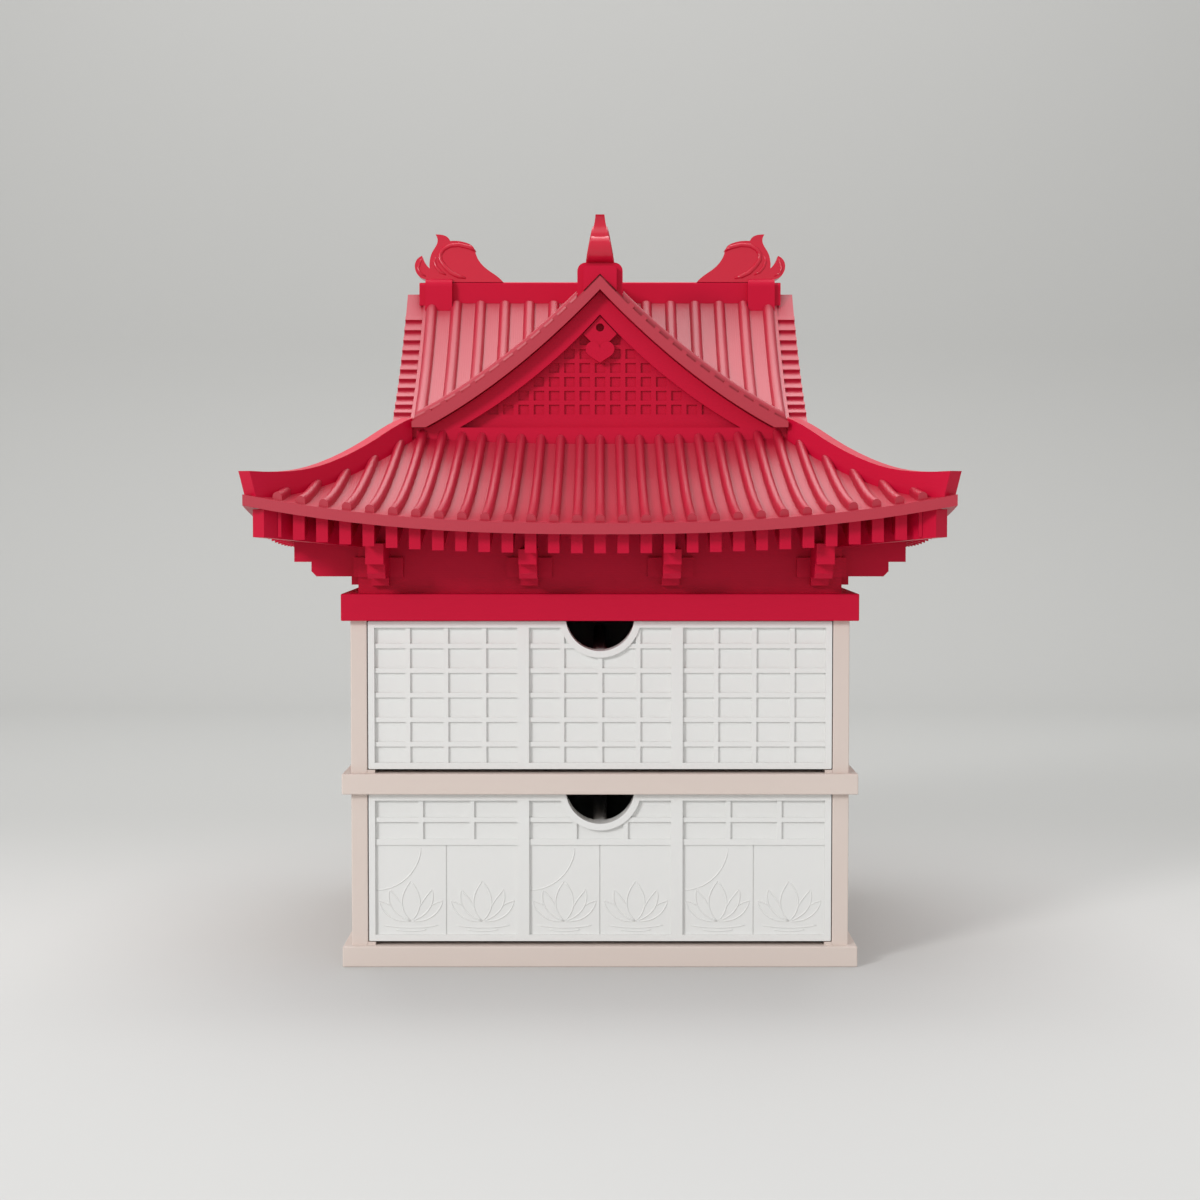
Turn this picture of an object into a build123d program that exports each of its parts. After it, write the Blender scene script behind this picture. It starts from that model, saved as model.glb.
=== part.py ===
from build123d import *
import os
from math import atan, cos, degrees, sqrt

# A desktop chest of two drawers under a temple roof, in moulded plastic.
# Millimetres, +Z up, front faces -Y, origin at the bottom centre of the base plate.
os.makedirs("parts", exist_ok=True)

SIDES = {"front": 0, "right": 90, "back": 180, "left": 270}  # quarter turns about +Z
ROOT2 = sqrt(2)

# ---- case -------------------------------------------------------------------
plate_width = 180.0  # base plate, shelf and roof tray are the same square
plate_thick = 7.2
bay_height = 53.4  # clear height of a drawer bay
wall_inset = 3.0  # the plates stand this far proud of the walls
wall_thick = 5.7
edge_round = 0.4  # soft edge of every moulded plate
runner_width = 2.6  # low strips that a drawer slides on
runner_height = 1.1
peg_radius = 1.5  # pegs that lock plates and walls together
peg_length = 10.0
peg_spread = 60.0  # pegs sit this far in front of and behind the middle
peg_clearance = 0.1

# ---- drawers ----------------------------------------------------------------
side_gap = 0.35  # drawer to bay, each side
slide_gap = 0.3  # drawer to runner
head_gap = 0.3  # drawer to the plate above
rear_gap = 0.8
front_thick = 5.0
tub_wall = 2.4
tub_front_wall = 4.5
tub_floor = 2.4
tub_drop = 2.5  # tub walls stop this far under the front's top edge
divider_thick = 5.1
notch_radius = 12.0  # half-round finger notch
notch_rise = 1.6  # its centre lies this far above the drawer's top edge
notch_ring = 2.3
border_width = 2.2
field_depth = 1.6  # the panels lie this far behind the frame's face
bar_width = 1.65
bar_proud = 0.9  # lattice bars above the panels
stile_width = 4.1  # two upright posts between the three bays of a front
mid_bay_half = 24.8
upper_column_pitch = 13.3
upper_row_pitch = 8.6
lower_column_pitch = 17.9
lower_row_height = 6.0  # two low rows of panes over the doors
door_rail = 2.1
door_groove = 0.4
door_proud = 0.35
screw_radius = 1.3
screw_head_radius = 2.6
screw_head_height = 1.4
screw_spread = 55.0
screw_bite = 2.4
screw_low = 12.0  # lower screws above the drawer's lower edge
screw_rise = 26.0

# ---- roof tray, frieze and brackets --------------------------------------------
tray_thick = 9.4
frieze_inset = 5.6
frieze_thick = 3.0
seat_gap = 0.3  # curved roof pieces lie this close to what carries them
bracket_width = 6.15
bracket_spots = (-76.5, -24.6, 24.6, 76.5)
bracket_foot_rise = 2.8  # bracket starts this far above the tray
bracket_foot_height = 2.9
bracket_foot_reach = 2.9
bracket_arm_height = 5.1
bracket_arm_reach = 17.0
bracket_arm_chamfer = 1.8
bracket_head_reach = 23.0
cross_arm_width = 15.8
cross_arm_height = 6.8
cross_arm_proud = 1.6

# ---- skirt roof -------------------------------------------------------------------
eave_half = 119.2
eave_height = 34.3  # top edge of the eave above the underside of the tray
skirt_thick = 3.7
skirt_gain = 0.0693  # rise = gain * distance_from_eave ** power
skirt_power = 1.53
corner_lift = 9.6
lift_power = 2.45
tile_count = 14  # tile ribs each side of the middle one
tile_top_pitch = 7.0
tile_low_pitch = 7.7
tile_radius = 1.6
tile_height = 2.8  # crown of a tile rib above the roof surface
tile_sink = 1.0  # its sides run this far into the roof
tile_setback = 1.6  # tile ends stop short of the eave
rafter_pitch = 7.79
rafter_width = 3.9
rafter_reach = 113.0
rafter_end_drop = 10.2  # underside of a rafter end below the eave's top edge
rafter_slope = 0.25
rafter_corner_sag = 2.9  # rafter ends climb less than the eave does
hip_rafter_width = 6.2
hip_rafter_reach = 114.6
hip_rafter_end_drop = 4.8  # its underside at the outer end, below the eave's top edge
hip_rafter_inner_drop = 8.7
hip_width = 6.2
hip_tip_reach = 118.7
hip_tip_height = 17.4  # above the eave's top edge

# ---- attic and cross gable -----------------------------------------------------------
attic_half = 69.0
attic_wall = 6.2
attic_height = 58.2  # attic walls above the tray
ridge_top = 53.1  # ridge line above the attic walls
slope_start = 1.04  # steepness at the ridge
slope_ease = 0.0041  # the slope flattens by this share of distance squared
shell_thick = 4.6
gable_reach = 73.9
slope_reach = 66.5
rib_pitch = 9.3
rib_count = 6
rib_radius = 2.15
rib_height = 1.9  # crown of a gable rib above the roof surface
rib_to_verge = 1.2  # clear strip between the outermost rib and the verge
verge_width = 6.4
verge_step = 1.2  # the verge lies this far below the roof surface
verge_tile_pitch = 6.3
verge_tile_width = 2.1
verge_tile_proud = 1.1
verge_tile_start = 10.7
barge_thick = 2.5
barge_height_top = 8.5
barge_foot_half = 49.8
barge_mid = (20.4, 20.4)  # a point of the lower edge, outwards and above the foot
panel_thick = 2.2
panel_face = 65.0
pane_depth = 0.9
pane_pitch_x = 5.45
pane_pitch_z = 4.93
pane_width = 3.7
pane_height = 3.45
panel_base = 4.8  # plain strip under the panes
pendant_thick = 2.6
pendant_height = 33.1  # widest corners of the pendant above the attic walls
pendant_half = 5.85
pendant_rise = 7.5  # its blank runs this far up and is cut to the boards
pendant_hole = 1.45
pendant_hole_rise = 2.4
heart_proud = 0.5  # the heart stands in front of the plate
heart_half = 5.1
heart_crown_drop = 2.6  # the heart's heights, below the plate's corners
heart_notch_drop = 5.1
heart_flank = ((4.7, 6.6), (3.7, 7.7))  # points of its lower edge, outwards and down
heart_tip_drop = 10.1

# ---- ridge and finials ------------------------------------------------------------------
beam_half = 5.0
beam_top = 57.4  # above the attic walls
block_start = 56.4
block_end = 66.6
block_half = 8.05
block_top = 58.5
block_round = 3.0
cap_half = 5.9
cap_reach = 2.4
cap_top = 57.2
cap_round = 1.5
finial_base_half = 5.0
finial_top_half = 1.9  # half thickness at the crest; the tips above are thinner still

# ---- levels worked out from the sizes above -----------------------------------------------
base_top = plate_thick
shelf_low = base_top + bay_height
shelf_top = shelf_low + plate_thick
tray_low = shelf_top + bay_height
tray_top = tray_low + tray_thick
wall_outer = plate_width / 2 - wall_inset
bay_half = wall_outer - wall_thick
drawer_half = bay_half - side_gap
drawer_lift = runner_height + slide_gap
drawer_height = bay_height - drawer_lift - head_gap
frieze_half = plate_width / 2 - frieze_inset
eave_top = tray_low + eave_height
attic_top = tray_top + attic_height
ridge_z = attic_top + ridge_top
block_z = attic_top + block_top


def save(piece, name):
    """Label a finished piece and write its file."""
    piece.part.label = name
    export_step(piece.part, f"parts/{name}.step")


def save_sides(front_part, name):
    """Write a piece of the front and its three copies turned about +Z."""
    for side, turn in SIDES.items():
        with BuildPart() as copy:
            add(front_part.rotate(Axis.Z, turn))
        save(copy, f"{name}_{side}")


# ==== the case ==================================================================
def plate(low, thick, peg_top, peg_bottom, runners):
    """Square plate with soft edges, blind peg holes and, if asked, two drawer runners."""
    with BuildPart() as made:
        with BuildSketch(Plane.XY.offset(low)):
            Rectangle(plate_width, plate_width)
        extrude(amount=thick)
        fillet(made.edges(), edge_round)
        if runners:
            with BuildSketch(Plane.XY.offset(low + thick)):
                with GridLocations(2 * bay_half - runner_width, 0, 2, 1):
                    with Locations((0, -wall_thick / 2)):
                        Rectangle(runner_width, 2 * wall_outer - wall_thick)
            extrude(amount=runner_height)
        for top_face, wanted in ((True, peg_top), (False, peg_bottom)):
            if wanted:
                level = low + thick if top_face else low
                with BuildSketch(Plane.XY.offset(level)):
                    with GridLocations(2 * wall_outer - wall_thick, 2 * peg_spread, 2, 2):
                        Circle(peg_radius + peg_clearance)
                reach = peg_length / 2 + peg_clearance
                extrude(amount=-reach if top_face else reach, mode=Mode.SUBTRACT)
    return made


def side_wall(low, side):
    """Side wall of one bay; side is -1 for left and 1 for right."""
    with BuildPart() as made:
        with BuildSketch(Plane.XY.offset(low)):
            with Locations((side * (wall_outer - wall_thick / 2), 0)):
                Rectangle(wall_thick, 2 * wall_outer)
        extrude(amount=bay_height)
        fillet(made.edges().filter_by(Axis.Z), edge_round)
        for level, inward in ((low, 1), (low + bay_height, -1)):
            with BuildSketch(Plane.XY.offset(level)):
                with GridLocations(0, 2 * peg_spread, 1, 2):
                    with Locations((side * (wall_outer - wall_thick / 2), 0)):
                        Circle(peg_radius + peg_clearance)
            extrude(amount=inward * (peg_length / 2 + peg_clearance), mode=Mode.SUBTRACT)
    return made


def back_wall(low):
    """Back wall of one bay, let in between the side walls."""
    with BuildPart() as made:
        with BuildSketch(Plane.XY.offset(low)):
            with Locations((0, wall_outer - wall_thick / 2)):
                Rectangle(2 * bay_half, wall_thick)
        extrude(amount=bay_height)
    return made


save(plate(0, plate_thick, True, False, True), "base_plate")
save(plate(shelf_low, plate_thick, True, True, True), "middle_shelf")
save(plate(tray_low, tray_thick, False, True, False), "roof_tray")
for bay, low in (("lower", base_top), ("upper", shelf_top)):
    save(side_wall(low, -1), f"{bay}_left_wall")
    save(side_wall(low, 1), f"{bay}_right_wall")
    save(back_wall(low), f"{bay}_back_wall")

with BuildPart() as pegs:
    for level in (base_top, shelf_low, shelf_top, tray_low):
        with BuildSketch(Plane.XY.offset(level - peg_length / 2)):
            with GridLocations(2 * wall_outer - wall_thick, 2 * peg_spread, 2, 2):
                Circle(peg_radius)
        extrude(amount=peg_length)
save(pegs, "case_pegs")


# ==== the drawers =================================================================
front_face = -wall_outer  # plane of the drawer fronts and of the case walls
front_rear = front_face + front_thick
tub_rear = bay_half - rear_gap
tub_inner_front = front_rear + tub_front_wall


def lattice_bars(width, height, columns, rows, pitch_x, pitch_z):
    """Bars of a lattice centred on the pane it divides."""
    with GridLocations(pitch_x, 0, columns - 1, 1):
        Rectangle(bar_width, height)
    with GridLocations(0, pitch_z, 1, rows - 1):
        Rectangle(width, bar_width)


def drawer_front(low, doors):
    """Relief front: frame, two posts, lattices and, on the lower one, pairs of doors."""
    face = Plane.XZ.offset(-front_face)
    middle = low + drawer_height / 2
    top = low + drawer_height
    field_half = drawer_half - border_width
    side_bay_width = field_half - mid_bay_half - stile_width
    side_bay_x = field_half - side_bay_width / 2
    bays = ((-side_bay_x, side_bay_width), (0, 2 * mid_bay_half), (side_bay_x, side_bay_width))
    field_low = low + border_width
    field_high = top - border_width
    with BuildPart() as made:
        with BuildSketch(face):
            with Locations((0, middle)):
                Rectangle(2 * drawer_half, drawer_height)
        extrude(amount=-front_thick)
        fillet(made.edges().filter_by(Axis.Y), edge_round)
        with BuildSketch(face):
            for x, width in bays:
                with Locations((x, middle)):
                    Rectangle(width, drawer_height - 2 * border_width)
        extrude(amount=-field_depth, mode=Mode.SUBTRACT)
        with BuildSketch(Plane.XZ.offset(-front_face - field_depth)):
            for x, width in bays:
                if doors:
                    rows_height = 2 * lower_row_height + bar_width
                    with Locations((x, field_high - rows_height / 2)):
                        lattice_bars(width, rows_height, 3, 2, lower_column_pitch, 1)
                    with Locations((x, field_high - rows_height - door_rail / 2)):
                        Rectangle(width, door_rail)
                else:
                    with Locations((x, middle)):
                        lattice_bars(width, 2 * (middle - field_low), 4, 6,
                                     upper_column_pitch, upper_row_pitch)
        extrude(amount=bar_proud)
        if doors:
            door_top = field_high - 2 * lower_row_height - bar_width - door_rail
            with BuildSketch(Plane.XZ.offset(-front_face - field_depth)):
                for x, width in bays:
                    leaf = (width - door_groove) / 2
                    with Locations((x - (leaf + door_groove) / 2, (door_top + field_low) / 2),
                                   (x + (leaf + door_groove) / 2, (door_top + field_low) / 2)):
                        Rectangle(leaf, door_top - field_low)
            extrude(amount=door_proud)
        with BuildSketch(Plane.XZ.offset(-front_face - field_depth)):
            with Locations((0, top + notch_rise)):
                Circle(notch_radius + notch_ring)
            with Locations((0, top + notch_radius)):
                Rectangle(4 * notch_radius, 2 * notch_radius, mode=Mode.SUBTRACT)
        extrude(amount=field_depth)
        with BuildSketch(face):
            with Locations((0, top + notch_rise)):
                Circle(notch_radius)
        extrude(amount=-front_thick, mode=Mode.SUBTRACT)
        with BuildSketch(Plane.XZ.offset(-front_rear)):
            with Locations((0, low + screw_low + screw_rise / 2)):
                with GridLocations(2 * screw_spread, screw_rise, 2, 2):
                    Circle(screw_radius + peg_clearance)
        extrude(amount=screw_bite + peg_clearance, mode=Mode.SUBTRACT)
    return made


def drawer_tub(low):
    """Open box behind the front, notched like it."""
    depth = tub_rear - front_rear
    height = drawer_height - tub_drop
    with BuildPart() as made:
        with BuildSketch(Plane.XY.offset(low)):
            with Locations((0, (tub_rear + front_rear) / 2)):
                Rectangle(2 * drawer_half, depth)
        extrude(amount=height)
        fillet(made.edges().filter_by(Axis.Z).group_by(Axis.Y)[-1], 3 * edge_round)
        with BuildSketch(Plane.XY.offset(low + tub_floor)):
            with Locations((0, (tub_rear - tub_wall + tub_inner_front) / 2)):
                RectangleRounded(2 * (drawer_half - tub_wall),
                                 tub_rear - tub_wall - tub_inner_front, edge_round)
        extrude(amount=height, mode=Mode.SUBTRACT)
        with BuildSketch(Plane.XZ.offset(-front_rear)):
            with Locations((0, low + drawer_height + notch_rise)):
                Circle(notch_radius)
        extrude(amount=-tub_front_wall, mode=Mode.SUBTRACT)
        with BuildSketch(Plane.XZ.offset(-front_rear)):
            with Locations((0, low + screw_low + screw_rise / 2)):
                with GridLocations(2 * screw_spread, screw_rise, 2, 2):
                    Circle(screw_radius + peg_clearance)
        extrude(amount=-tub_front_wall, mode=Mode.SUBTRACT)
    return made


def divider(low):
    """Lengthwise wall that halves the tub, no higher than the notch."""
    height = drawer_height + notch_rise - notch_radius - tub_floor
    with BuildPart() as made:
        with BuildSketch(Plane.XY.offset(low + tub_floor)):
            with Locations((0, (tub_rear - tub_wall + tub_inner_front) / 2)):
                Rectangle(divider_thick, tub_rear - tub_wall - tub_inner_front)
        extrude(amount=height)
        fillet(made.edges().group_by(Axis.Z)[-1].filter_by(Axis.Y), 4 * edge_round)
    return made


def front_screws(low):
    """Screws from inside the tub into the front."""
    with BuildPart() as made:
        spots = Plane.XZ.offset(-front_rear)
        with BuildSketch(spots):
            with Locations((0, low + screw_low + screw_rise / 2)):
                with GridLocations(2 * screw_spread, screw_rise, 2, 2):
                    Circle(screw_radius)
        extrude(amount=screw_bite)
        extrude(to_extrude=made.faces().sort_by(Axis.Y)[-4:], amount=tub_front_wall)
        with BuildSketch(Plane.XZ.offset(-tub_inner_front)):
            with Locations((0, low + screw_low + screw_rise / 2)):
                with GridLocations(2 * screw_spread, screw_rise, 2, 2):
                    Circle(screw_head_radius)
        extrude(amount=-screw_head_height)
    return made


for drawer, floor, doors in (("lower", base_top, True), ("upper", shelf_top, False)):
    drawer_low = floor + drawer_lift
    save(drawer_front(drawer_low, doors), f"{drawer}_drawer_front")
    save(drawer_tub(drawer_low), f"{drawer}_drawer_tub")
    save(divider(drawer_low), f"{drawer}_drawer_divider")
    save(front_screws(drawer_low), f"{drawer}_front_screws")


# ==== skirt roof ====================================================================
def rise(reach):
    """Height of the skirt above its eave at a distance from the centre lines."""
    return skirt_gain * max(eave_half - reach, 0) ** skirt_power


def lift(off):
    """Extra height towards the upturned corners."""
    return corner_lift * (abs(off) / eave_half) ** lift_power


def wedge(reach, clear=0.0):
    """Corners of the front quarter in plan, between the two diagonals."""
    return [(0, -clear), (-reach + clear, -reach), (reach - clear, -reach)]


skirt_inner = attic_half + seat_gap
steps = [skirt_inner + (eave_half - skirt_inner) * k / 6 for k in range(7)]
stations = [eave_half * k / 6 for k in range(-6, 7)]


def skirt_deck(thick_over, thick_under):
    """Front slope of the skirt: one profile carried along the lifted eave, mitred at the hips."""
    with BuildPart() as made:
        for x in stations:
            over = [(-s, eave_top + rise(s) + lift(x) + thick_over) for s in steps]
            under = [(-s, eave_top + rise(s) + lift(x) - thick_under) for s in steps]
            with BuildSketch(Plane.YZ.offset(x)):
                with BuildLine():
                    Spline(over)
                    Line(over[-1], under[-1])
                    Spline(under)
                    Line(under[0], over[0])
                make_face()
        loft()
        with BuildSketch(Plane.XY.offset(tray_top)):
            Polygon(*wedge(2 * eave_half), align=None)
        extrude(amount=ridge_z, mode=Mode.INTERSECT)
    return made.part


def arched_rib(points, radius, leg):
    """A rib along a curve: round crown, straight sides of a given length, flat ends."""
    with BuildPart() as made:
        with BuildLine() as path:
            Spline(points)
        along = path.line % 0
        with BuildSketch(Plane(path.line @ 0, x_dir=(-along.Y, along.X, 0), z_dir=along)):
            Circle(radius)
            if leg:
                with Locations((0, -leg / 2)):
                    Rectangle(2 * radius, leg)
        sweep()
    return made.part


def skirt_rib(n):
    """Tile rib n of the front slope, straight in plan and fanning out towards the eave."""
    low_reach = eave_half - tile_setback
    fan = (tile_low_pitch - tile_top_pitch) / (low_reach - skirt_inner)
    hip_start = abs(n) * (tile_top_pitch - fan * skirt_inner) / (1 - abs(n) * fan)
    start = max(skirt_inner, hip_start) - tile_height  # run in, to be trimmed upright
    points = []
    for k in range(5):
        s = start + (low_reach - start) * k / 4
        x = n * (tile_top_pitch + fan * (s - skirt_inner))
        points.append((x, -s, eave_top + rise(s) + lift(x) + tile_height - tile_radius))
    return arched_rib(points, tile_radius, tile_height - tile_radius + tile_sink)


deck = skirt_deck(0, skirt_thick)
skirt_ribs = [skirt_rib(n) for n in range(-tile_count, tile_count + 1)]
with BuildPart() as trimmed_ribs:
    add(skirt_ribs)
    with BuildSketch(Plane.XY.offset(tray_top)):
        Polygon(*wedge(2 * eave_half, hip_width / 2 * ROOT2 + seat_gap), align=None)
        Rectangle(4 * eave_half, 2 * skirt_inner, mode=Mode.SUBTRACT)
    extrude(amount=ridge_z, mode=Mode.INTERSECT)
with BuildPart() as skirt:
    add(deck)
    add(trimmed_ribs.part)
save_sides(skirt.part, "skirt_slope")


# ==== frieze, brackets and rafters ======================================================
bracket_low = tray_top + bracket_foot_rise
arm_low = bracket_low + bracket_foot_height
head_low = arm_low + bracket_arm_height


def deck_under(x, s):
    """Height just under the skirt at x along the eave and s from the centre."""
    return eave_top - skirt_thick + rise(s) + lift(x) - seat_gap


def rafter_bottom(x, s):
    """Underside of a rafter: it climbs inwards, and outwards along the eave."""
    climb = lift(x) * (corner_lift - rafter_corner_sag) / corner_lift
    return eave_top - rafter_end_drop + climb + rafter_slope * (rafter_reach - s)


def frieze_wall(half_width):
    """Upright wall under the eaves, its top edge curved like the skirt above it."""
    spots = [half_width * k / 6 for k in range(-6, 7)]
    with BuildPart() as made:
        with BuildSketch(Plane.XZ.offset(frieze_half)):
            with BuildLine():
                Polyline([(x, deck_under(x, frieze_half)) for x in spots]
                         + [(half_width, tray_top), (-half_width, tray_top)], close=True)
            make_face()
        extrude(amount=-frieze_thick)
    return made.part


long_frieze = frieze_wall(frieze_half)
short_frieze = frieze_wall(frieze_half - frieze_thick)
for side, turn in SIDES.items():
    with BuildPart() as frieze:
        add((long_frieze if side in ("front", "back") else short_frieze).rotate(Axis.Z, turn))
    save(frieze, f"frieze_{side}")

# Four stepped brackets on the face of the front frieze: foot, arm with a cut corner,
# long head, and a cross arm along the wall.
with BuildPart() as brackets:
    for reach, width, low, height in (
            (bracket_foot_reach, bracket_width, bracket_low, bracket_foot_height),
            (cross_arm_proud, cross_arm_width, arm_low, cross_arm_height)):
        with BuildSketch(Plane.XZ.offset(frieze_half)):
            with Locations([(x, low + height / 2) for x in bracket_spots]):
                Rectangle(width, height)
        extrude(amount=reach)
    for x in bracket_spots:
        head_end = frieze_half + bracket_head_reach
        head_top = rafter_bottom(abs(x) - bracket_width / 2, head_end) - seat_gap
        with BuildSketch(Plane.XZ.offset(frieze_half)):
            with Locations((x, (head_low + head_top) / 2)):
                Rectangle(bracket_width, head_top - head_low)
        extrude(amount=bracket_head_reach)
        with BuildSketch(Plane.YZ.offset(x)):
            with BuildLine():
                Polyline((-frieze_half, arm_low),
                         (-frieze_half - bracket_arm_reach + bracket_arm_chamfer, arm_low),
                         (-frieze_half - bracket_arm_reach, arm_low + bracket_arm_chamfer),
                         (-frieze_half - bracket_arm_reach, head_low),
                         (-frieze_half, head_low), close=True)
            make_face()
        extrude(amount=bracket_width / 2, both=True)
save_sides(brackets.part, "eave_brackets")


with BuildPart() as rafters:
    for n in range(-tile_count, tile_count + 1):
        x = n * rafter_pitch
        inner_x = max(abs(x) - rafter_width / 2, 0)
        spots = [frieze_half + (rafter_reach - frieze_half) * k / 4 for k in range(5)]
        with BuildSketch(Plane.YZ.offset(x)):
            with BuildLine():
                Polyline([(-s, deck_under(inner_x, s)) for s in spots]
                         + [(-s, rafter_bottom(x, s)) for s in (rafter_reach, frieze_half)],
                         close=True)
            make_face()
        extrude(amount=rafter_width / 2, both=True)
    with BuildSketch(Plane.XY.offset(tray_top)):
        Polygon(*wedge(2 * eave_half, hip_rafter_width / 2 * ROOT2 + seat_gap), align=None)
    extrude(amount=ridge_z, mode=Mode.INTERSECT)
save_sides(rafters.part, "rafters")

# Vertical plane through the front right hip: local x runs outwards, local y is up.
hip_plane = Plane(origin=(0, 0, 0), x_dir=(1, -1, 0), z_dir=(-1, -1, 0))
hip_rafter_inner = frieze_half + seat_gap
hip_side = hip_rafter_width / 2 / ROOT2  # how far its sides stand off the diagonal in plan
with BuildPart() as hip_rafter:
    spots = [hip_rafter_inner + (hip_rafter_reach - hip_rafter_inner) * k / 6 for k in range(7)]
    with BuildSketch(hip_plane):
        with BuildLine():
            Polyline([(s * ROOT2, deck_under(s - hip_side, s + hip_side)) for s in spots]
                     + [(hip_rafter_reach * ROOT2, eave_top - hip_rafter_end_drop),
                        (hip_rafter_inner * ROOT2, eave_top - hip_rafter_inner_drop)],
                     close=True)
        make_face()
    extrude(amount=hip_rafter_width / 2, both=True)
with BuildPart() as hip_rafters:
    for turn in SIDES.values():
        add(hip_rafter.part.rotate(Axis.Z, turn))
save(hip_rafters, "hip_rafters")


# ==== hip ridges ===========================================================================
# Top edge of a hip ridge: reach from the centre, height above the eave's top edge.
hip_crest = [(66.0, 37.5), (72.0, 34.9), (79.7, 29.4), (91.7, 22.0), (101.0, 18.4),
             (110.9, 17.2), (hip_tip_reach, hip_tip_height)]
hip_tip_rake = 1.7  # the lower end of the tip lies this far back
hip_sink = 2.0  # the blank starts inside the deck and is cut to it
with BuildPart() as hip_ridge:
    hip_foot = hip_tip_reach - hip_tip_rake
    hip_start = hip_crest[0][0]
    spots = [hip_foot + (hip_start - hip_foot) * k / 4 for k in range(5)]
    with BuildSketch(hip_plane):
        with BuildLine():
            Spline([(s * ROOT2, eave_top + h) for s, h in hip_crest])
            Polyline([(hip_tip_reach * ROOT2, eave_top + hip_tip_height),
                      (hip_foot * ROOT2, eave_top + rise(hip_foot) + lift(hip_foot))]
                     + [(s * ROOT2, eave_top + rise(s) + lift(s) - hip_sink) for s in spots]
                     + [(hip_start * ROOT2, eave_top + hip_crest[0][1])])
        make_face()
    extrude(amount=hip_width / 2, both=True)
    add(deck, mode=Mode.SUBTRACT)
    add(deck.rotate(Axis.Z, 90), mode=Mode.SUBTRACT)
    with BuildSketch(Plane.XY.offset(tray_top)):
        Rectangle(2 * attic_half, 2 * attic_half)
        Rectangle(2 * slope_reach, 2 * gable_reach)
        Rectangle(2 * gable_reach, 2 * slope_reach)
    extrude(amount=ridge_z, mode=Mode.SUBTRACT)
with BuildPart() as hip_ridges:
    for turn in SIDES.values():
        add(hip_ridge.part.rotate(Axis.Z, turn))
save(hip_ridges, "hip_ridges")


# ==== attic walls ===============================================================================
def attic_side(half_width):
    with BuildPart() as made:
        with BuildSketch(Plane.XZ.offset(attic_half)):
            with Locations((0, tray_top + attic_height / 2)):
                Rectangle(2 * half_width, attic_height)
        extrude(amount=-attic_wall)
    return made.part


long_attic = attic_side(attic_half)
short_attic = attic_side(attic_half - attic_wall)
for side, turn in SIDES.items():
    with BuildPart() as attic:
        add((long_attic if side in ("front", "back") else short_attic).rotate(Axis.Z, turn))
    save(attic, f"attic_wall_{side}")


# ==== cross gable ================================================================================
def slope_z(off, drop=0.0):
    """Height of the gable roof at a distance from its ridge line, drop below its top face."""
    return ridge_z - drop - slope_start * off + slope_ease * off * off


def slope_curve(drop, end):
    """The three control points of the roof's parabola from the ridge out to end."""
    return [(0, slope_z(0, drop)), (end / 2, slope_z(0, drop) - slope_start * end / 2),
            (end, slope_z(end, drop))]


def flat_foot(drop):
    """Distance from the ridge line at which a curve below the roof meets the attic walls."""
    fall = ridge_z - drop - attic_top
    return (slope_start - sqrt(slope_start ** 2 - 4 * slope_ease * fall)) / (2 * slope_ease)


def gable_rib(line, hand):
    """Tile rib at a distance from the centre, on the slope to one hand of the front gable."""
    start = beam_half + seat_gap
    end = line + 2 * rib_radius
    points = []
    for k in range(5):
        x = start + (end - start) * k / 4
        points.append((hand * x, -line, slope_z(x, -verge_step) + rib_height - rib_radius))
    return arched_rib(points, rib_radius, 0)


def verge_spots():
    """Distances from the ridge line of the short tiles along a verge."""
    spots = []
    off = verge_tile_start
    while off < slope_reach - verge_tile_width / 2:
        spots.append(off)
        off += verge_tile_pitch * cos(atan(slope_start - 2 * slope_ease * off))
    return spots


foot = flat_foot(shell_thick)
outer_rib = gable_reach - verge_width - rib_to_verge - rib_radius
rib_lines = [outer_rib - n * rib_pitch for n in range(rib_count)]
with BuildPart() as gable_ribs:
    for line in rib_lines:
        for hand in (-1, 1):
            add(gable_rib(line, hand))
    with BuildSketch(Plane.XY.offset(attic_top)):
        with Locations((0, -(block_start + block_end) / 2)):
            Rectangle(2 * (block_half + seat_gap), block_end - block_start + 2 * seat_gap)
    extrude(amount=ridge_z, mode=Mode.SUBTRACT)


def shell_section(crown):
    """Section through the roof shell, its top a given height above the verge line."""
    with BuildSketch() as face:
        with BuildLine():
            Bezier(*slope_curve(-crown, slope_reach))
            Polyline((slope_reach, slope_z(slope_reach, -crown)), (slope_reach, attic_top),
                     (foot, attic_top))
            Bezier(*slope_curve(shell_thick, foot))
            Line((0, slope_z(0, shell_thick)), (0, slope_z(0, -crown)))
        make_face()
        mirror(about=Plane.YZ)
    return face.sketch


roof_section = shell_section(verge_step)
verge_section = shell_section(0)
with BuildPart() as gable:
    with BuildSketch(Plane.XZ):
        add(roof_section)
    extrude(amount=gable_reach - verge_width)
    with BuildSketch(Plane.XZ.offset(gable_reach - verge_width)):
        add(verge_section)
        for hand in (-1, 1):
            for off in verge_spots():
                tilt = degrees(atan(slope_start - 2 * slope_ease * off))
                with Locations(Location((hand * off, slope_z(off)), -hand * tilt)):
                    Rectangle(verge_tile_width, 2 * verge_tile_proud)
    extrude(amount=verge_width)
    add(gable_ribs.part)
    with BuildSketch(Plane.XY.offset(attic_top)):
        Polygon(*wedge(2 * gable_reach), align=None)
    extrude(amount=ridge_z, mode=Mode.INTERSECT)
save_sides(gable.part, "gable_roof")

barge_foot_top = flat_foot(shell_thick + seat_gap)


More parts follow.
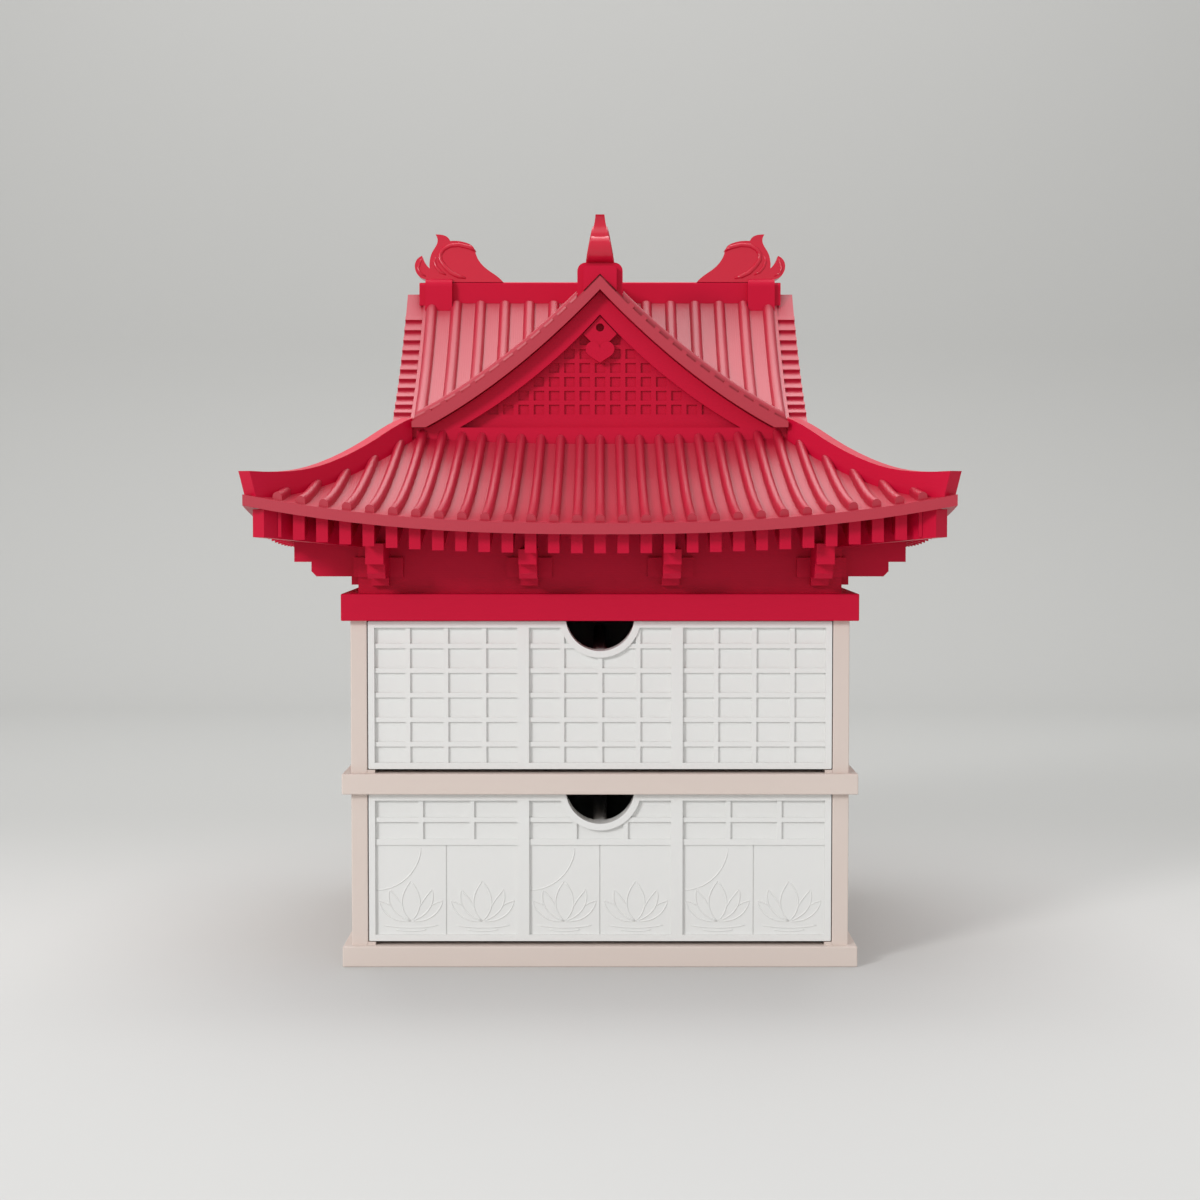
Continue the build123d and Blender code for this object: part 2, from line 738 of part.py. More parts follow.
def barge_section(clear=0.0):
    """Face of the two boards, their lower edge lowered by a clearance."""
    low_peak = slope_z(0, shell_thick) - barge_height_top - clear
    with BuildSketch() as face:
        with BuildLine():
            Bezier(*slope_curve(shell_thick + seat_gap, barge_foot_top))
            Line((barge_foot_top, attic_top), (barge_foot_half, attic_top))
            Spline((barge_foot_half, attic_top),
                   (barge_mid[0], attic_top + barge_mid[1] - clear), (0, low_peak))
            Line((0, low_peak), (0, slope_z(0, shell_thick + seat_gap)))
        make_face()
        mirror(about=Plane.YZ)
    return face.sketch


board_face = barge_section()
board_clearance = barge_section(seat_gap * ROOT2)
with BuildPart() as barge:
    with BuildSketch(Plane.XZ.offset(attic_half)):
        add(board_face)
    extrude(amount=-barge_thick)
save_sides(barge.part, "barge_board")


def under_roof(drop, end, floor):
    """Face between a level floor and the roof's parabola, drop below its top."""
    with BuildSketch() as face:
        with BuildLine():
            Bezier(*slope_curve(drop, end))
            Polyline((end, slope_z(end, drop)), (end, floor), (0, floor), (0, slope_z(0, drop)))
        make_face()
        mirror(about=Plane.YZ)
    return face.sketch


def pane_spots():
    """Centres of the square panes that lie wholly under the roof."""
    half = pane_width / 2
    spots = []
    for column in range(-20, 21):
        for row in range(20):
            x = column * pane_pitch_x
            z = attic_top + panel_base + pane_pitch_z * row + pane_height / 2
            if z + pane_pitch_z / 2 < slope_z(abs(x) + half, shell_thick + barge_height_top / 2):
                spots.append((x, z))
    return spots


panel_outline = under_roof(shell_thick + seat_gap, barge_foot_top - edge_round, attic_top)
with BuildPart() as panel:
    with BuildSketch(Plane.XZ.offset(panel_face - pane_depth)):
        add(panel_outline)
    extrude(amount=pane_depth - panel_thick)
    with BuildSketch(Plane.XZ.offset(panel_face - pane_depth)):
        add(panel_outline)
        with Locations(pane_spots()):
            Rectangle(pane_width, pane_height, mode=Mode.SUBTRACT)
    extrude(amount=pane_depth)
save_sides(panel.part, "gable_lattice")

# Pendant under the gable's peak: a pointed plate with one round hole, cut to the boards'
# lower edge, and a heart before its foot.
pendant_mid = attic_top + pendant_height
with BuildPart() as pendant:
    with BuildSketch(Plane.XZ.offset(panel_face)):
        Polygon((-pendant_half, pendant_mid + pendant_rise), (-pendant_half, pendant_mid),
                (0, pendant_mid - pendant_half), (pendant_half, pendant_mid),
                (pendant_half, pendant_mid + pendant_rise), align=None)
        add(board_clearance, mode=Mode.SUBTRACT)
        with Locations((0, pendant_mid + pendant_hole_rise)):
            Circle(pendant_hole, mode=Mode.SUBTRACT)
    extrude(amount=pendant_thick)
    with BuildSketch(Plane.XZ.offset(panel_face)):
        with BuildLine():
            notch = (0, pendant_mid - heart_notch_drop)
            side = (heart_half, pendant_mid - heart_notch_drop)
            flank = [(out, pendant_mid - down) for out, down in heart_flank]
            ThreePointArc(notch, (heart_half / 2, pendant_mid - heart_crown_drop), side)
            Spline(side, *flank)
            Polyline(flank[-1], (0, pendant_mid - heart_tip_drop), notch)
        make_face()
        mirror(about=Plane.YZ)
    extrude(amount=pendant_thick + heart_proud)
with BuildPart() as pendants:
    for turn in SIDES.values():
        add(pendant.part.rotate(Axis.Z, turn))
save(pendants, "gable_pendants")


# ==== ridge beams, end blocks and finials ==============================================================
# Section of the roof under its ridge, to cut what sits astride it.
ridge_gap = 0.1
under_ridge = under_roof(-verge_step - ridge_gap, block_half + 2 * seat_gap, attic_top)
beam_low = slope_z(beam_half, -verge_step) - seat_gap
with BuildPart() as beams:
    with BuildSketch(Plane.XY.offset(beam_low)):
        Rectangle(2 * beam_half, 2 * block_start)
        Rectangle(2 * block_start, 2 * beam_half)
    extrude(amount=attic_top + beam_top - beam_low)
    fillet(beams.edges().group_by(Axis.Z)[-1], 2 * edge_round)
    with BuildSketch(Plane.XZ):
        add(under_ridge)
    extrude(amount=2 * block_start, both=True, mode=Mode.SUBTRACT)
    with BuildSketch(Plane.YZ):
        add(under_ridge)
    extrude(amount=2 * block_start, both=True, mode=Mode.SUBTRACT)
save(beams, "ridge_beams")

block_low = slope_z(block_half, -verge_step) - seat_gap
with BuildPart() as block:
    with BuildSketch(Plane.XZ.offset(block_start)):
        with Locations((0, (block_low + block_z) / 2)):
            Rectangle(2 * block_half, block_z - block_low)
    extrude(amount=block_end - block_start)
    fillet(block.edges().filter_by(Axis.Y).group_by(Axis.Z)[-1], block_round)
    with BuildSketch(Plane.XZ.offset(block_end)):
        with Locations((0, (block_low + attic_top + cap_top) / 2)):
            RectangleRounded(2 * cap_half, attic_top + cap_top - block_low, cap_round)
    extrude(amount=cap_reach)
    with BuildSketch(Plane.XZ):
        add(under_ridge)
    extrude(amount=2 * block_end, mode=Mode.SUBTRACT)
with BuildPart() as blocks:
    for turn in SIDES.values():
        add(block.part.rotate(Axis.Z, turn))
save(blocks, "ridge_blocks")

# Side outline of a finial: reach from the centre and height above the ridge block.
beam_z = attic_top + beam_top
beam_step = beam_top - block_top
finial_inner = [(37.0, beam_step), (40.5, 2.0), (44.3, 4.8), (46.75, 7.9), (48.0, 11.2)]
finial_crest = [(48.0, 11.2), (48.8, 12.8), (51.6, 14.3), (54.7, 14.9), (57.5, 14.9)]
finial_flame = [(57.5, 14.9), (59.0, 16.7), (60.9, 17.3), (63.1, 17.4)]
finial_back = [(63.1, 17.4), (62.5, 13.8), (64.4, 10.3), (65.1, 7.9), (65.2, 4.2)]
finial_curl = [(65.2, 4.2), (67.1, 6.5), (68.2, 9.1)]
finial_outer = [(68.2, 9.1), (70.9, 5.1), (68.9, 0.9), (block_end, 0)]
finial_runs = (finial_inner, finial_crest, finial_flame, finial_back, finial_curl, finial_outer)
with BuildPart() as finial:
    with BuildSketch(Plane.YZ):
        with BuildLine():
            for run in finial_runs:
                Spline([(-reach, block_z + height) for reach, height in run])
            Polyline((-block_end, block_z), (-block_start, block_z), (-block_start, beam_z),
                     (-finial_inner[0][0], beam_z))
        make_face()
    extrude(amount=finial_base_half, both=True)
    with BuildSketch(Plane.XZ.offset(finial_inner[0][0])):
        with BuildLine():
            Polyline((0, beam_z), (finial_base_half, beam_z),
                     (finial_top_half, block_z + finial_crest[-1][1]),
                     (0, block_z + 2 * finial_crest[-1][1]), close=True)
        make_face()
        mirror(about=Plane.YZ)
    extrude(amount=gable_reach - finial_inner[0][0], mode=Mode.INTERSECT)
save_sides(finial.part, "finial")
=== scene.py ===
# %% [markdown]
# # A desktop chest of two drawers under a temple roof
# The real object is plastic in three colours: a warm beige case, white drawers with relief
# fronts, and a crimson roof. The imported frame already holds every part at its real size. This
# lesson gives each part its finish and adds two kinds of fine relief: raised lines on the lower
# doors, and rims on both faces of the finials.

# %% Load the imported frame
from math import cos, pi, radians, sin

import bmesh
import bpy
from mathutils import Euler, Matrix, Vector


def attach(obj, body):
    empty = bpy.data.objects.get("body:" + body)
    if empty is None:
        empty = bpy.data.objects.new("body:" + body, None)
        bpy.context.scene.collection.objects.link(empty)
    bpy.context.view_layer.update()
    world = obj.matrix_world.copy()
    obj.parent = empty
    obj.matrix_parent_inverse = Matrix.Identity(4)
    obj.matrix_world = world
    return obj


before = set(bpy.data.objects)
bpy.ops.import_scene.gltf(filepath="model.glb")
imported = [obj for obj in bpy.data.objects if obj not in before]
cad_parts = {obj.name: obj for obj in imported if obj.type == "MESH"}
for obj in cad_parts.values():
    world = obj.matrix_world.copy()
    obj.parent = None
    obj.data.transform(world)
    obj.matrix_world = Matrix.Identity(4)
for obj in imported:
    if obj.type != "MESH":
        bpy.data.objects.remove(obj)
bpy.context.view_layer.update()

MM = 0.001  # the frame is in metres, sizes below are written in millimetres

# %% [markdown]
# ## Camera
# The photograph is a product shot with a long lens, nearly level with the eaves. A 67 mm lens
# on a 36 mm sensor, 87 cm in front of the chest, gives its vanishing lines. The camera stays
# unshifted, so that other views can turn round the object.

# %% Camera
CAMERA_DISTANCE = 866.3 * MM
CAMERA_HEIGHT = 164.9 * MM
CAMERA_PITCH = radians(2.685)
camera_data = bpy.data.cameras.new("photo_camera")
camera_data.lens = 67.2
camera_data.sensor_width = 36.0
camera_data.dof.use_dof = False
camera = bpy.data.objects.new("photo_camera", camera_data)
camera.location = (0, -CAMERA_DISTANCE, CAMERA_HEIGHT)
camera.rotation_euler = Euler((pi / 2 - CAMERA_PITCH, 0, 0))
bpy.context.scene.collection.objects.link(camera)
bpy.context.scene.camera = camera
bpy.context.scene.view_settings.view_transform = "Standard"
print("camera at", [round(c, 3) for c in camera.location])

# %% [markdown]
# ## Materials
# The plastics are satin, a coloured base under a weak, broad highlight, and the finials are
# glossier. One small function adds a node with its settings and links, and one turns a hex
# colour to linear light. Each plastic gets faint variation in colour and roughness, and a fine
# bump for the way it was made.


# %% Colour and node helpers
def linear(hex_colour):
    """sRGB hex to linear RGBA."""
    channels = [int(hex_colour[i:i + 2], 16) / 255 for i in (1, 3, 5)]
    return [c / 12.92 if c <= 0.04045 else ((c + 0.055) / 1.055) ** 2.4 for c in channels] + [1]


def put(tree, kind, inputs=None, **settings):
    """Add one node: settings are its properties, inputs are values or sockets to link."""
    node = tree.nodes.new(kind)
    for name, value in settings.items():
        setattr(node, name, value)
    for socket, value in (inputs or {}).items():
        if isinstance(value, bpy.types.NodeSocket):
            tree.links.new(value, node.inputs[socket])
        else:
            node.inputs[socket].default_value = value
    return node


def new_material(name):
    """Empty material with its output node and shader."""
    material = bpy.data.materials.new(name)
    material.use_nodes = True
    tree = material.node_tree
    tree.nodes.clear()
    output = put(tree, "ShaderNodeOutputMaterial")
    shader = put(tree, "ShaderNodeBsdfPrincipled")
    tree.links.new(shader.outputs["BSDF"], output.inputs["Surface"])
    return material, tree, shader


# %% [markdown]
# Injection moulded and printed plastics differ in their grain. A moulded skin has a fine, even
# orange peel. A printed one has layer lines, usually 0.2 mm apart. Lines that fine vanish at
# this picture size, so they are drawn 0.8 mm apart and very shallow.


# %% Moulded and printed plastics
LAYER_PITCH = 0.8 * MM
WAVE_FACTOR = 20  # the wave node multiplies its coordinate by this
GRAIN_SIZE = 0.35 * MM
GRAIN_DEPTH = 0.02 * MM
GRAIN_STRENGTH, LINE_STRENGTH = 0.15, 0.5
DRIFT_SCALE = 18.0  # colour and gloss drift over patches of about 55 mm
GLOSS_BELOW, GLOSS_ABOVE = 0.03, 0.04  # how far the roughness drifts


def satin_plastic(name, colour, shade, roughness, line_axis=None, line_depth=0.0, sheen=0.5):
    """Plastic that drifts between two close colours, with peel grain and optional lines."""
    material, tree, shader = new_material(name)
    shader.inputs["Specular IOR Level"].default_value = sheen
    place = put(tree, "ShaderNodeTexCoord").outputs["Object"]
    drift = put(tree, "ShaderNodeTexNoise", {"Vector": place, "Scale": DRIFT_SCALE, "Detail": 2.0})
    tone = put(tree, "ShaderNodeMix", {"Factor": drift.outputs["Fac"], "A": linear(colour),
                                       "B": linear(shade)}, data_type="RGBA")
    tree.links.new(tone.outputs[2], shader.inputs["Base Color"])
    gloss = put(tree, "ShaderNodeMapRange", {"Value": drift.outputs["Fac"],
                                             "To Min": roughness - GLOSS_BELOW,
                                             "To Max": roughness + GLOSS_ABOVE})
    tree.links.new(gloss.outputs["Result"], shader.inputs["Roughness"])
    grain = put(tree, "ShaderNodeTexNoise", {"Vector": place, "Scale": 1 / GRAIN_SIZE,
                                             "Detail": 1.0})
    bump = put(tree, "ShaderNodeBump", {"Height": grain.outputs["Fac"], "Strength": GRAIN_STRENGTH,
                                        "Distance": GRAIN_DEPTH})
    if line_axis:
        wave = put(tree, "ShaderNodeTexWave", {"Vector": place,
                                               "Scale": 2 * pi / LAYER_PITCH / WAVE_FACTOR,
                                               "Distortion": 0.4, "Detail": 1.0},
                   wave_type="BANDS", bands_direction=line_axis, wave_profile="SIN")
        bump = put(tree, "ShaderNodeBump", {"Height": wave.outputs["Fac"], "Strength": LINE_STRENGTH,
                                            "Distance": line_depth * MM,
                                            "Normal": bump.outputs["Normal"]})
    tree.links.new(bump.outputs["Normal"], shader.inputs["Normal"])
    return material


FLAT_SHEEN = 0.15  # upright red faces are nearly matt
SLOPE_SHEEN = 0.85  # the slopes mirror the lamp behind them
SATIN, PRINTED, GLOSSY = 0.5, 0.42, 0.22  # roughness
# Painted shade: the slopes take a darker copy of the upright faces' crimson.
SHADED_SLOPE_REDS = ("#B40D30", "#B00B2D")
# Moulded ABS shows a soft, broad highlight and no lines.
case_beige = satin_plastic("beige_moulded_abs", "#D9CBC3", "#D6C7BE", SATIN)
drawer_white = satin_plastic("white_moulded_abs", "#E4E4E2", "#E1E1DF", SATIN)
# Printed PLA shows fine lines: level ones on upright faces, and ones down the fall on slopes.
# The slopes' copies are painted a darker crimson, as painted shade.
roof_red = satin_plastic("crimson_printed_pla_layers", "#C60C36", "#C20A32", PRINTED, "Z", 0.02,
                         sheen=FLAT_SHEEN)
shaded_slope_red_x = satin_plastic("shaded_crimson_pla_fall_x", *SHADED_SLOPE_REDS, PRINTED, "X", 0.03,
                            sheen=SLOPE_SHEEN)
shaded_slope_red_y = satin_plastic("shaded_crimson_pla_fall_y", *SHADED_SLOPE_REDS, PRINTED, "Y", 0.03,
                            sheen=SLOPE_SHEEN)
# Smooth ABS gives the finials a small, sharp highlight.
finial_red = satin_plastic("crimson_glossy_abs", "#C61233", "#C20F2F", GLOSSY)

# %% [markdown]
# The screws that hold the drawer fronts are zinc-plated steel, a dull grey metal with faint
# cloudy patches. They hardly show, so one noise pattern drives both their tone and their sheen.

# %% Zinc-plated screws
CLOUD_SCALE = 900.0  # cloudy patches of about 1 mm
ZINC_SMOOTH, ZINC_ROUGH = 0.3, 0.45  # roughness


def zinc_plate(name):
    """Dull grey plating with fine cloudy variation in its sheen."""
    material, tree, shader = new_material(name)
    place = put(tree, "ShaderNodeTexCoord").outputs["Object"]
    cloud = put(tree, "ShaderNodeTexNoise", {"Vector": place, "Scale": CLOUD_SCALE, "Detail": 2.0})
    tone = put(tree, "ShaderNodeMix", {"Factor": cloud.outputs["Fac"], "A": linear("#B9BCBF"),
                                       "B": linear("#A5A9AD")}, data_type="RGBA")
    tree.links.new(tone.outputs[2], shader.inputs["Base Color"])
    shader.inputs["Metallic"].default_value = 1.0
    rough = put(tree, "ShaderNodeMapRange", {"Value": cloud.outputs["Fac"], "To Min": ZINC_SMOOTH,
                                             "To Max": ZINC_ROUGH})
    tree.links.new(rough.outputs["Result"], shader.inputs["Roughness"])
    return material


screw_zinc = zinc_plate("zinc_plated_steel")
print("materials:", [m.name for m in bpy.data.materials])


# %% [markdown]
# ## Finish of each carried-over part
# A part keeps its shape and takes a finish by what it is. Roof slopes get lines that run down
# the fall of the roof, so the front and back ones differ from those at the sides. The slopes are
# also painted a darker crimson than the upright faces, as painted shade.

# %% Finishes of the CAD nodes
def finish_of(node):
    """The material of one node."""
    if "screws" in node:
        return screw_zinc
    if "drawer_" in node:
        return drawer_white
    if node in ("base_plate", "middle_shelf", "case_pegs"):
        return case_beige
    if node.startswith(("lower_", "upper_")):
        return case_beige
    if node.startswith("finial"):
        return finial_red
    # Slopes take the darker crimson of painted shade, with lines down the fall.
    if node in ("skirt_slope_front", "skirt_slope_back", "gable_roof_left", "gable_roof_right"):
        return shaded_slope_red_x
    if node.startswith(("skirt_slope", "gable_roof")):
        return shaded_slope_red_y
    return roof_red


for name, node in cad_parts.items():
    node.data.materials.clear()
    node.data.materials.append(finish_of(name))
print("finished", len(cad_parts), "nodes")

# %% [markdown]
# ## Round bars
# The line relief and the rims of the finials are both round bars along a path. A bevelled curve
# could make them too. Here one circle is grown ring by ring, each ring turned square to the
# path, and the last one is closed, so that every bar is a closed mesh straight away.

# %% Bar helper
BAR_SIDES = 10


def bar(shape, points, radii, out):
    """Grow a closed round bar along points; out is a direction square to the whole path."""
    points = [Vector(p) * MM for p in points]
    out = Vector(out)
    last = len(points) - 1
    frames = []
    for i, (point, radius) in enumerate(zip(points, radii)):
        along = (points[min(i + 1, last)] - points[max(i - 1, 0)]).normalized()
        side = out.cross(along).normalized()
        up = along.cross(side)
        turn = Matrix((side * radius * MM, up * radius * MM, along)).transposed().to_4x4()
        frames.append(Matrix.Translation(point) @ turn)
    ring = bmesh.ops.create_circle(shape, cap_ends=True, segments=BAR_SIDES, radius=1.0)["verts"]
    edges = list(dict.fromkeys(e for v in ring for e in v.link_edges))  # each once, in ring order
    for vert in ring:
        vert.co = frames[0] @ vert.co
    for before, after in zip(frames, frames[1:]):
        grown = bmesh.ops.extrude_edge_only(shape, edges=edges)["geom"]
        ring = [g for g in grown if isinstance(g, bmesh.types.BMVert)]
        edges = [g for g in grown if isinstance(g, bmesh.types.BMEdge)
                 and all(v in ring for v in g.verts)]
        move = after @ before.inverted()
        for vert in ring:
            vert.co = move @ vert.co
    bmesh.ops.edgeloop_fill(shape, edges=edges)


def add_piece(name, shape, material, body):
    """Turn a finished bmesh into a smooth-shaded piece that rides on a body."""
    bmesh.ops.recalc_face_normals(shape, faces=shape.faces[:])
    for face in shape.faces:
        face.smooth = True
    mesh = bpy.data.meshes.new(name)
    shape.to_mesh(mesh)
    shape.free()
    mesh.materials.append(material)
    piece = bpy.data.objects.new(name, mesh)
    bpy.context.scene.collection.objects.link(piece)
    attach(piece, body)
    print(name, "triangles:", sum(len(f.vertices) - 2 for f in mesh.polygons))


# %% [markdown]
# ## Water lilies on the lower doors
# The six lower doors carry a flower in thin raised lines. This one is a plain water lily of its
# own layout: one upright petal, a leaning and a low one on each side of it, and the water's
# ripples under them. An arc crosses the upper left corner of the left door in each bay. The
# lines are real geometry and not a bump, so that the mesh itself keeps them.

# %% Line relief
DOOR_FACE = -85.75  # y of the doors' faces
DOOR_LOW, DOOR_TOP = 10.8, 42.35  # heights of the doors' lower and upper edges
DOOR_BAYS = ((-53.825, 49.85), (0.0, 49.6), (53.825, 49.85))  # middle and width of each bay
DOOR_SPLIT = 0.4  # width of the slit between the two doors of a bay
LINE_RADIUS = 0.24
LILY_RISE = 4.6  # foot of the petals above the door's lower edge
ARC_RADIUS = 16.0
LINE_END = 0.45  # share of the radius left at the two ends of a line
ARC_ANGLES = range(2, 89, 6)  # degrees, just short of the door's edges
# Petal outlines as Bezier points: outwards and up from the petals' common foot.
MIDDLE_PETAL = (((0, 0), (-4.6, 4.2), (-3.8, 9.6), (0, 14.2)),
                ((0, 14.2), (3.8, 9.6), (4.6, 4.2), (0, 0)))
SIDE_PETALS = (((-2.6, 4.2), (-4.4, 8.0), (-6.2, 9.6), (-7.4, 11.2)),
               ((-7.4, 11.2), (-8.8, 6.6), (-6.2, 1.8), (0, 0)),
               ((-7.3, 5.6), (-9.0, 6.8), (-10.2, 7.0), (-11.2, 7.2)),
               ((-11.2, 7.2), (-9.8, 1.8), (-5.0, -0.6), (0, 0)))
RIPPLES = (((-9.6, -1.4), (-4.0, -2.6), (4.0, -2.6), (9.6, -1.4)),
           ((-5.4, -3.0), (-2.0, -3.7), (2.0, -3.7), (5.4, -3.0)))
CURVE_STEPS = 12


def bezier(a, b, c, d):
    """Points along a cubic Bezier curve in the plane."""
    spots = []
    for k in range(CURVE_STEPS + 1):
        t = k / CURVE_STEPS
        w = ((1 - t) ** 3, 3 * t * (1 - t) ** 2, 3 * t * t * (1 - t), t ** 3)
        spots.append(tuple(sum(f * q[i] for f, q in zip(w, (a, b, c, d))) for i in (0, 1)))
    return spots


def relief_line(shape, spots):
    """One raised line on the doors, half sunk, with fine ends."""
    count = len(spots)
    radii = [LINE_RADIUS * (LINE_END if k in (0, count - 1) else 1.0) for k in range(count)]
    bar(shape, [(x, DOOR_FACE, z) for x, z in spots], radii, (0, -1, 0))


relief = bmesh.new()
for bay_x, bay_width in DOOR_BAYS:
    leaf = (bay_width - DOOR_SPLIT) / 2
    for hand in (-1, 1):
        foot_x, foot_z = bay_x + hand * (leaf + DOOR_SPLIT) / 2, DOOR_LOW + LILY_RISE
        strokes = [(1, curve) for curve in MIDDLE_PETAL]
        strokes += [(flip, curve) for flip in (1, -1) for curve in SIDE_PETALS]
        strokes += [(1, curve) for curve in RIPPLES]
        for flip, curve in strokes:
            relief_line(relief, [(foot_x + flip * x, foot_z + z) for x, z in bezier(*curve)])
    corner_x = bay_x - bay_width / 2
    relief_line(relief, [(corner_x + ARC_RADIUS * sin(radians(a)),
                          DOOR_TOP - ARC_RADIUS * cos(radians(a))) for a in ARC_ANGLES])
add_piece("lower_door_lilies", relief, drawer_white, "lower_drawer")

# %% [markdown]
# ## Rims of the finials
# Each finial is a sail with a raised rim round its upper edge, a second lobe outside it and a
# crescent at the tip. The CAD part has the outline. The rims stand on both of its faces.

# %% Finial rims
FINIAL_FOOT, FINIAL_FOOT_HALF = 246.2, 5.0  # height and half thickness at the foot
FINIAL_THINNING = 3.1 / 16.0  # half the thickness shrinks by this per millimetre of height
# Points along the rims: distance out from the chest's middle, and height.
RIM = ((47.9, 258.2), (49.9, 259.6), (54.1, 260.6), (57.6, 260.3), (60.0, 258.9), (61.3, 257.0),
       (61.2, 254.8), (59.5, 252.3), (57.0, 249.8), (54.1, 248.4), (51.3, 247.6))
LOBE = ((62.9, 256.2), (63.4, 254.2), (62.6, 251.9), (60.9, 250.0), (58.9, 248.9))
CRESCENT = ((66.6, 248.4), (68.8, 249.6), (69.6, 251.6), (69.0, 253.8), (68.2, 255.3))
RIM_RADIUS = 0.95
LOBE_SHARE, CRESCENT_SHARE = 0.7, 0.6  # their bars against the rim's
RIM_END = 0.5  # share of the radius left at the two ends of a rim
RIM_SINK = 3  # the middle of a rim lies a third of its radius under the finial's face
SIDES = {"front": 0, "right": 90, "back": 180, "left": 270}  # quarter turns about +Z


def finial_rim(shape, path, radius, hand):
    """One rim on the +X or -X face of the front finial, thin at both ends."""
    points = []
    for reach, z in path:
        half = FINIAL_FOOT_HALF - FINIAL_THINNING * (z - FINIAL_FOOT)
        points.append((hand * (half - radius / RIM_SINK), -reach, z))
    count = len(points)
    radii = [radius * (RIM_END if k in (0, count - 1) else 1.0) for k in range(count)]
    bar(shape, points, radii, (hand, 0, 0))


for side, turn in SIDES.items():
    rims = bmesh.new()
    for hand in (-1, 1):
        finial_rim(rims, RIM, RIM_RADIUS, hand)
        finial_rim(rims, LOBE, LOBE_SHARE * RIM_RADIUS, hand)
        finial_rim(rims, CRESCENT, CRESCENT_SHARE * RIM_RADIUS, hand)
    bmesh.ops.rotate(rims, verts=rims.verts[:], cent=(0, 0, 0),
                     matrix=Matrix.Rotation(radians(turn), 3, "Z"))
    add_piece(f"finial_rims_{side}", rims, finial_red, "cabinet")

# %% [markdown]
# ## Studio
# The chest stands in front of a seamless paper sweep: a floor that curves up into a wall. Its
# grey is painted darker towards the back of the floor and on the wall, as painted shade. The wall
# is far off, so that the chest shows from behind too.
# One edge is extruded along the profile, which keeps the whole sweep a single strip.

# %% Paper sweep
SWEEP_FRONT = -3000 * MM
SWEEP_BACK = 1150 * MM  # far enough that views from behind stand in front of it
SWEEP_RADIUS = 300 * MM
PAINTED_SHADE_START, PAINTED_SHADE_END = -120 * MM, 320 * MM  # painted shade darkens the paper over this stretch of floor
SWEEP_HALF = 3000 * MM
SWEEP_TOP = 900 * MM  # the photograph's camera sees the wall up to about 600 mm
COVE_ANGLES = range(0, 91, 6)  # degrees round the cove
FIBRE_SCALE = 6.0  # the paper is uneven over patches of about 170 mm
PAPER_ROUGHNESS, PAPER_SHEEN = 0.95, 0.1


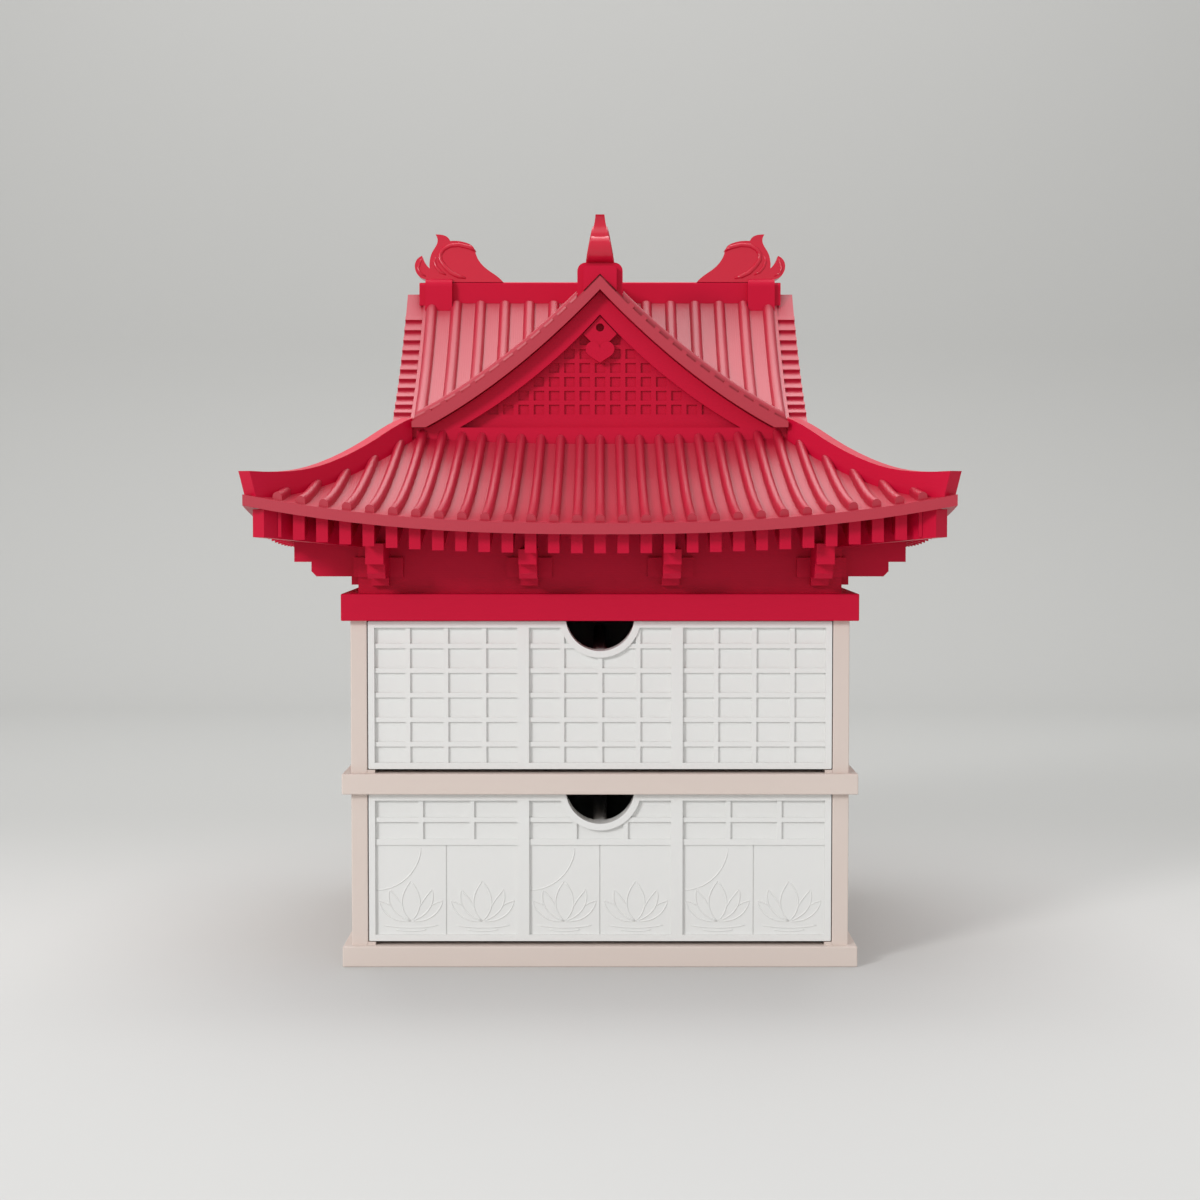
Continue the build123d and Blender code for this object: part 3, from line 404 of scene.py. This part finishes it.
def paper_sweep():
    """Floor, quarter-round cove and wall in one strip, extruded from one edge."""
    shape = bmesh.new()
    left = shape.verts.new((-SWEEP_HALF, SWEEP_FRONT, 0))
    right = shape.verts.new((SWEEP_HALF, SWEEP_FRONT, 0))
    edge = shape.edges.new((left, right))
    cove = [(SWEEP_BACK - SWEEP_RADIUS + SWEEP_RADIUS * sin(radians(a)),
             SWEEP_RADIUS - SWEEP_RADIUS * cos(radians(a))) for a in COVE_ANGLES]
    for y, z in cove + [(SWEEP_BACK, SWEEP_TOP)]:
        grown = bmesh.ops.extrude_edge_only(shape, edges=[edge])["geom"]
        ends = [g for g in grown if isinstance(g, bmesh.types.BMVert)]
        for vert in ends:
            vert.co = (vert.co.x, y, z)
        edge = next(g for g in grown if isinstance(g, bmesh.types.BMEdge)
                    and all(v in ends for v in g.verts))
    for face in shape.faces:
        face.smooth = True
    mesh = bpy.data.meshes.new("paper_sweep")
    shape.to_mesh(mesh)
    shape.free()
    sweep = bpy.data.objects.new("paper_sweep", mesh)
    bpy.context.scene.collection.objects.link(sweep)
    material, tree, shader = new_material("grey_paper_painted_shade")
    place = put(tree, "ShaderNodeTexCoord").outputs["Object"]
    fibre = put(tree, "ShaderNodeTexNoise", {"Vector": place, "Scale": FIBRE_SCALE, "Detail": 2.0})
    floor_tone = put(tree, "ShaderNodeMix", {"Factor": fibre.outputs["Fac"],
                                             "A": linear("#C8C8C6"), "B": linear("#C6C6C5")},
                     data_type="RGBA")
    # Painted shade: the floor's grey darkens towards the back, and the wall takes a darker grey.
    spot = put(tree, "ShaderNodeSeparateXYZ", {"Vector": place})
    depth = put(tree, "ShaderNodeMapRange", {"Value": spot.outputs["Y"],
                                             "From Min": PAINTED_SHADE_START, "From Max": PAINTED_SHADE_END},
                interpolation_type="SMOOTHSTEP")
    far_painted_shade = put(tree, "ShaderNodeMix", {"Factor": depth.outputs["Result"],
                                           "A": floor_tone.outputs[2], "B": linear("#B0B0AE")},
                   data_type="RGBA")
    climb = put(tree, "ShaderNodeMapRange", {"Value": spot.outputs["Z"],
                                             "From Max": SWEEP_RADIUS})
    tone = put(tree, "ShaderNodeMix", {"Factor": climb.outputs["Result"],
                                       "A": far_painted_shade.outputs[2], "B": linear("#B5B5B3")},
               data_type="RGBA")
    tree.links.new(tone.outputs[2], shader.inputs["Base Color"])
    shader.inputs["Roughness"].default_value = PAPER_ROUGHNESS
    shader.inputs["Specular IOR Level"].default_value = PAPER_SHEEN
    mesh.materials.append(material)


paper_sweep()

# %% [markdown]
# ## Light
# A lamp from the front left gives the ribs and the lattice their shadows. A soft lamp behind
# and above is mirrored in the roof slopes, and an even sky and top light fill the rest.

# %% Lamps and sky
# The places and sizes of the lamps are in metres.
SKY_LEVEL = 0.68
KEY_FROM = Vector((-0.79, -1.0, 0.52))  # from the shadows of the gable boards on the lattice
KEY_DISTANCE = 3.0
world = bpy.data.worlds.new("even_sky")
bpy.context.scene.world = world
world.use_nodes = True
sky = world.node_tree.nodes["Background"]
sky.inputs["Color"].default_value = (1.0, 1.0, 1.0, 1)
sky.inputs["Strength"].default_value = SKY_LEVEL


def softbox(name, place, aim, size, watts):
    """Square area lamp at a place, turned towards a point."""
    data = bpy.data.lights.new(name, "AREA")
    data.size = size
    data.energy = watts
    lamp = bpy.data.objects.new(name, data)
    lamp.location = place
    lamp.rotation_euler = (Vector(aim) - Vector(place)).to_track_quat("-Z", "Y").to_euler()
    bpy.context.scene.collection.objects.link(lamp)


CHEST_MIDDLE = Vector((0, 0, 0.15))
softbox("key_softbox", CHEST_MIDDLE + KEY_DISTANCE * KEY_FROM.normalized(), CHEST_MIDDLE,
        size=0.6, watts=38.0)
softbox("overhead_softbox", (0, 0, 1.8), (0, 0, 0), size=1.6, watts=9.0)
softbox("rear_softbox", (0, 0.6, 1.15), CHEST_MIDDLE, size=1.1, watts=7.5)
print("studio ready")
